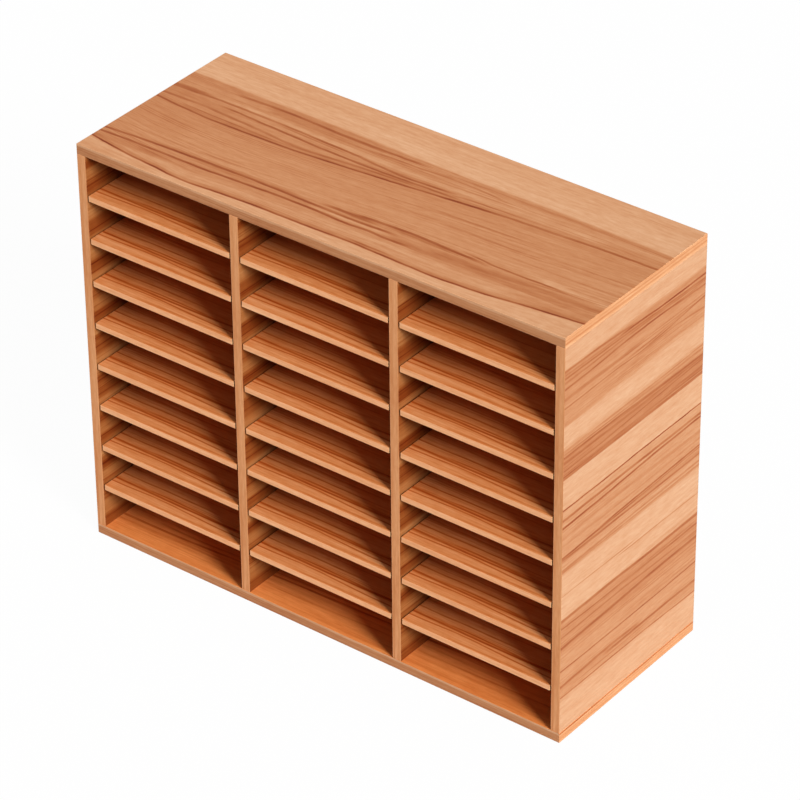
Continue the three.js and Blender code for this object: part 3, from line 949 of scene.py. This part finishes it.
def keep(name, shape, finishes, body, slot, *nodes):
    """Makes a piece of a finished shape, sets it on its body and hides the nodes it stands for."""
    piece = object_from(name, shape, finishes)
    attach(piece, body)
    if nodes:
        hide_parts(*nodes)
    return piece


print("Boards are eased by", arris_width * mm, "mm")

# %% [markdown]
# ## Top and bottom boards
# These two run the full width, over and under the uprights. Eight screws come up through the
# bottom board, and their heads sit in holes, a little below the surface. A hole is the room that
# a drill leaves, so it is made as a shape of its own, a short cylinder, and taken out of the
# board with a Boolean. Its place and size come from the box of the screw in the frame. What is
# under the head can't be seen and stays solid.

# %% Top and bottom boards
fit_gap = 0.0003
drill_past = 0.002
head_rim = 0.001


def head_holes(screw_names):
    """The room of all the screw heads, let out by the fitting gap."""
    cutter = bmesh.new()
    for screw_name in screw_names:
        low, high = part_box(screw_name)
        radius = (high.x - low.x) / 2 + fit_gap
        rim = Vector(((low.x + high.x) / 2, (low.y + high.y) / 2, low.z + head_rim))
        drill(cutter, radius, 2 * drill_past, Matrix.Translation(rim - Vector((0.0, 0.0, drill_past))))
    return cutter


top_shape = board_shape(top_low, top_high)
paint(top_shape, front=1, rear=1, left=2, right=2)
top_finishes = (top_veneer, top_front, top_end)
keep("top_board", top_shape, top_finishes, "case", "case_board", "top_panel")

bottom_finishes = (bottom_veneer, bottom_front, bottom_end, chip_core)
screw_names = [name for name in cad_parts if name.startswith("screw_")]
bottom_shape = board_shape(bottom_low, bottom_high)
paint(bottom_shape, front=1, rear=1, left=2, right=2)
bottom_shape = cut_out(bottom_shape, head_holes(screw_names), bottom_finishes, chip_core)
bottom_board = keep("bottom_board", bottom_shape, bottom_finishes, "case", "case_board", "bottom_panel")
print("Bottom board:", len(screw_names), "holes,", len(bottom_board.data.polygons), "faces")

# %% [markdown]
# ## Uprights
# Four uprights stand between the top and the bottom. The outer faces of the two sides show the
# striped leaf, and all faces inside show that leaf darkened with painted shade. In the frame the
# shelf pins are part of the uprights, so the boards themselves are thinner than their nodes'
# boxes. Near the upper end each upright has two round pockets, where the cam locks that hold the
# top sit flush.

# %% Uprights
# The faces that carry shelf pins: -1 is the left face of an upright and 1 is its right face
pin_faces = {"left_side": [1], "left_divider": [-1, 1], "right_divider": [-1, 1], "right_side": [-1]}


def upright_corners(node_name):
    """The corners of an upright's board, without the pins that stand out of it."""
    low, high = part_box(node_name)
    sides = pin_faces[node_name]
    pin_length = (high.x - low.x - upright_thickness) / len(sides)
    low.x += pin_length * sides.count(-1)
    high.x -= pin_length * sides.count(1)
    return low, high


def cam_pockets(node_name, low, high):
    """The room of an upright's two cam locks, open at the face that each cam lies in."""
    cutter = bmesh.new()
    for row in ("front", "rear"):
        cam_low, cam_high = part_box(f"cam_{node_name}_{row}")
        outward = 1.0 if abs(cam_high.x - high.x) < abs(cam_low.x - low.x) else -1.0
        length = cam_high.x - cam_low.x + drill_past
        middle = (cam_low + cam_high) / 2 + Vector((outward * drill_past / 2, 0.0, 0.0))
        radius = (cam_high.z - cam_low.z) / 2 + fit_gap
        drill(cutter, radius, length, Matrix.Translation(middle) @ Matrix.Rotation(math.pi / 2, 4, "Y"))
    return cutter


end_grain = 0.99
upright_finishes = (upright_front, chip_core, side_veneer, shaded_inner_veneer)
for node_name, sides in pin_faces.items():
    low, high = upright_corners(node_name)
    shape = board_shape(low, high)
    faces_left = 3 if -1 in sides else 2
    faces_right = 3 if 1 in sides else 2
    paint(shape, front=0, rear=0, left=faces_left, right=faces_right, up=1, down=1, level=end_grain)
    shape = cut_out(shape, cam_pockets(node_name, low, high), upright_finishes, chip_core)
    keep(node_name + "_board", shape, upright_finishes, "case", "case_board", node_name)
print("Uprights:", len(pin_faces), "of", upright_thickness * mm, "mm")

# %% [markdown]
# ## Shelf pins
# Each shelf lies on four steel pins pushed into holes in the uprights. A pin is turned on a
# lathe, so it is drawn as half an outline, from the collar that stops it at the board to its
# chamfered tip, and spun once round. The pins of one upright are one piece. They go where the
# shelves are: their tops touch the underside of each shelf, near its front and its back.

# %% Shelf pins
pin_radius = 0.0025
pin_reach = 0.008
pin_inset = 0.037
collar_radius = 0.0036
collar_thickness = 0.0012
chamfer = 0.0005
pin_steps = 20
merge_within = 1e-6
shelf_levels = range(1, 9)


def add_pin(shape, foot, outward):
    """Spins one pin round its axis, with its foot on the upright's face."""
    outline = [
        (0.0, 0.0),
        (0.0, collar_radius),
        (collar_thickness - chamfer / 2, collar_radius),
        (collar_thickness, collar_radius - chamfer / 2),
        (collar_thickness, pin_radius),
        (pin_reach - chamfer, pin_radius),
        (pin_reach, pin_radius - chamfer),
        (pin_reach, 0.0),
    ]
    corners = [shape.verts.new(foot + Vector((outward * out, 0.0, radius))) for out, radius in outline]
    edges = [shape.edges.new(pair) for pair in zip(corners, corners[1:])]
    bmesh.ops.spin(
        shape, geom=corners + edges, cent=foot, axis=Vector((1.0, 0.0, 0.0)), angle=math.tau,
        steps=pin_steps, use_merge=True,
    )


shelf_floor = {level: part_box(f"shelf_left_{level}")[0].z for level in shelf_levels}
back_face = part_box("back_panel")[0].y
pin_places = (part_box("left_side")[0].y + pin_inset, back_face - pin_inset)
pin_count = 0
for node_name, sides in pin_faces.items():
    low, high = upright_corners(node_name)
    shape = bmesh.new()
    for outward in sides:
        face_x = high.x if outward > 0 else low.x
        for level in shelf_levels:
            for place in pin_places:
                add_pin(shape, Vector((face_x, place, shelf_floor[level] - pin_radius)), outward)
                pin_count += 1
    bmesh.ops.remove_doubles(shape, verts=shape.verts, dist=merge_within)
    bmesh.ops.recalc_face_normals(shape, faces=shape.faces)
    for face in shape.faces:
        face.smooth = abs(face.normal.x) < squarely
    keep(node_name + "_pins", shape, (zinc,), "case", "zinc_fitting")
print("Shelf pins:", pin_count)

# %% [markdown]
# ## Shelves and back
# Each shelf is a loose board on its own body, so it can slide out. Its front has a pale strip,
# and its ends and back edge are bare core. The 24 shelves could be copies of one mesh, but each is
# built between the corners of its own node, and so it is right wherever the frame puts it. The
# back is a thin sheet, veneered on the inside and plain hardboard on the outside.

# %% Shelves and back
shelf_finishes = (shelf_veneer, shelf_front, chip_core)
for column in ("left", "centre", "right"):
    for level in shelf_levels:
        node_name = f"shelf_{column}_{level}"
        low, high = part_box(node_name)
        shape = board_shape(low, high)
        paint(shape, front=1, rear=2, left=2, right=2)
        keep(f"{column}_shelf_{level}", shape, shelf_finishes, node_name, "shelf_board", node_name)

back_low, back_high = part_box("back_panel")
back_shape = board_shape(back_low, back_high)
paint(back_shape, front=1, rear=0, left=0, right=0)
keep("back_sheet", back_shape, (hardboard, shaded_inner_veneer), "case", "back_board", "back_panel")

print("Shelves of", [round(mm * side, 1) for side in high - low], "mm")

# %% [markdown]
# ## Fittings
# The cams, bolts and screws of the frame are right as they are: a cam has its keyhole and its
# slot, and a screw has its countersunk head and its socket. New pieces would add nothing, so only
# their finish is changed. A node of the frame keeps its mesh, and just its list of materials is
# emptied and filled again.

# %% Fittings
fittings = [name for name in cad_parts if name.split("_")[0] in ("cam", "bolt", "screw")]
for node_name in fittings:
    fitting_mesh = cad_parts[node_name].data
    fitting_mesh.materials.clear()
    fitting_mesh.materials.append(zinc)
print("Fittings in zinc:", len(fittings))
